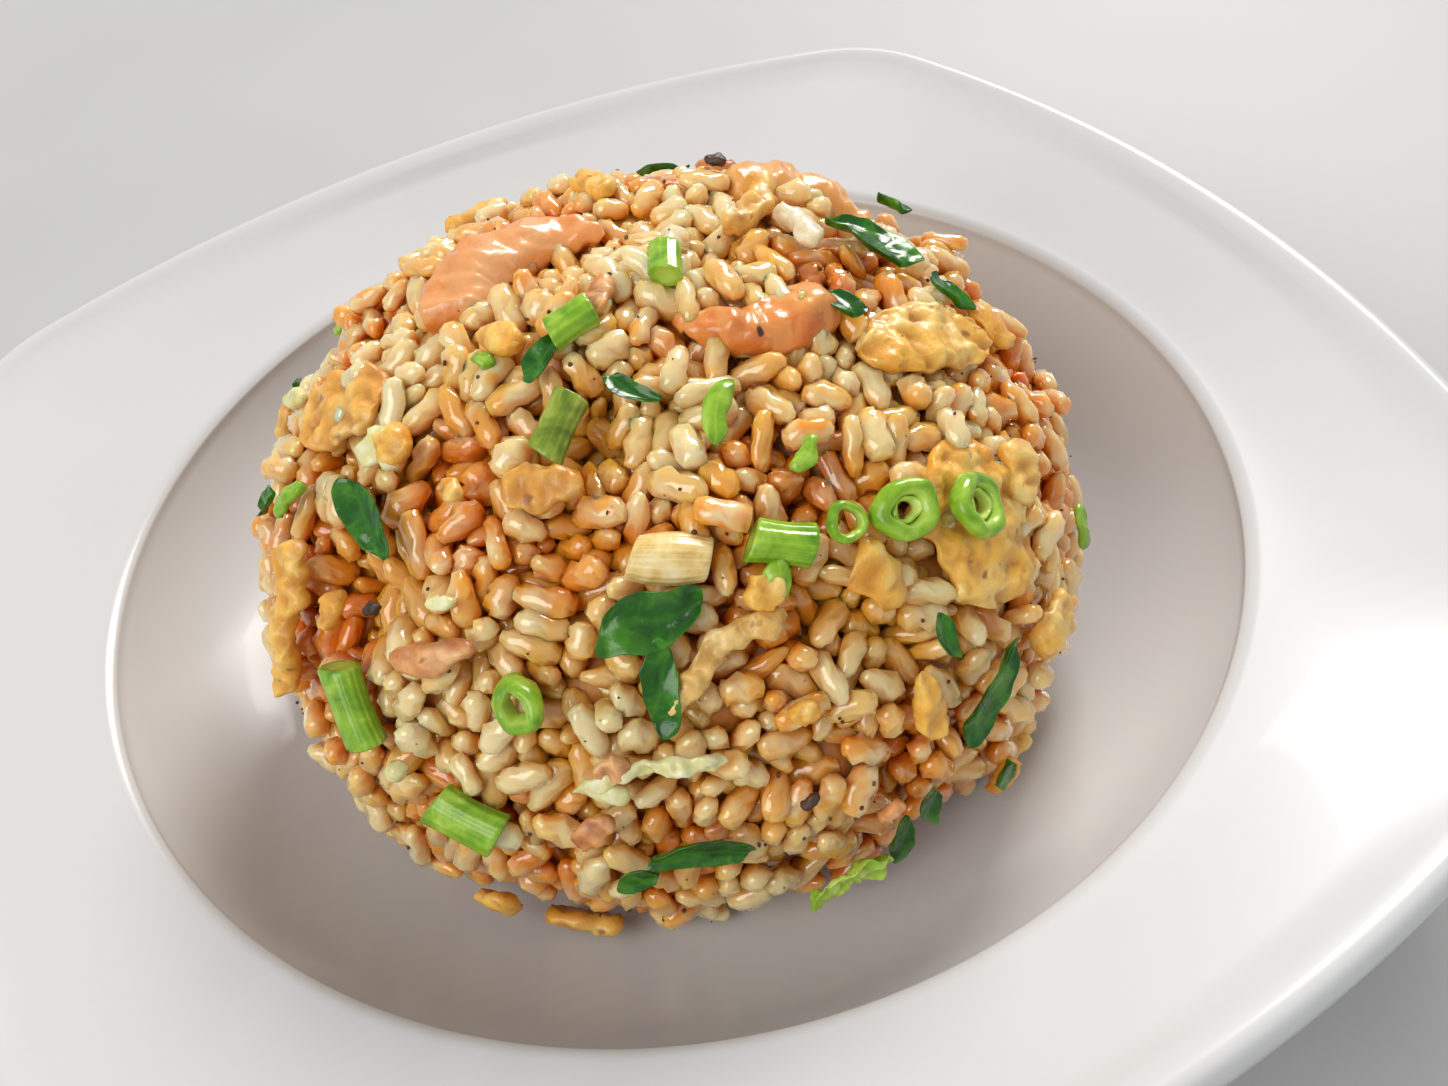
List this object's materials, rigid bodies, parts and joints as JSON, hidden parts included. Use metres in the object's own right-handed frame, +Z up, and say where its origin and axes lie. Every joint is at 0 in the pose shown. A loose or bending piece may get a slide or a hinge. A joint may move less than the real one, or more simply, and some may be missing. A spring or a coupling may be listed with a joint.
{
  "type": "shrimp fried rice on a plate",
  "caption": "Dome of shrimp fried rice with egg, scallion and greens in the round well of a white soft-square porcelain rim plate.",
  "frame": {"origin": "middle of the underside of the plate's foot ring, on the table", "axes": "+Z up; the plate's flat sides face +X, -X, +Y and -Y"},
  "size_m": [0.204, 0.204, 0.0726],
  "materials": {
    "porcelain": "white glossy glaze",
    "rice": "moist cooked short-grain rice, cream to amber, oily sheen",
    "shrimp": "moist cooked shrimp, orange back and pale pink belly",
    "egg": "fried omelette, golden with browned edges",
    "leaf": "dark green scallion leaf, moist",
    "scallion": "bright green scallion, moist",
    "pale_stem": "pale yellow-green stem and cabbage",
    "onion": "translucent cooked onion",
    "seasoning": "black pepper and browned specks"
  },
  "bodies": {
    "root": {"cabbage_chunk": "pale_stem", "egg_cross_strip": "egg", "egg_crumble": "egg", "egg_left_patch": "egg", "egg_left_strip": "egg", "egg_low_curl": "egg", "egg_low_right": "egg", "egg_right_band": "egg", "egg_right_sheet": "egg", "egg_top_curl": "egg", "leaf_left": "leaf", "leaf_low": "leaf", "leaf_middle": "leaf", "leaf_right": "leaf", "leaf_top": "leaf", "lettuce_frill": "scallion", "onion_top": "onion", "plate": "porcelain", "rice_mound": "rice", "scallion_chip": "scallion", "scallion_ring_left": "scallion", "scallion_ring_right": "scallion", "scallion_stalk_green": "scallion", "scallion_stalk_left": "scallion", "scallion_stalk_low": "scallion", "scallion_stalk_pale": "pale_stem", "shrimp_back": "shrimp", "shrimp_top": "shrimp", "shrimp_upper_left": "shrimp", "stem_ribbon": "pale_stem"}
  },
  "joints": []
}
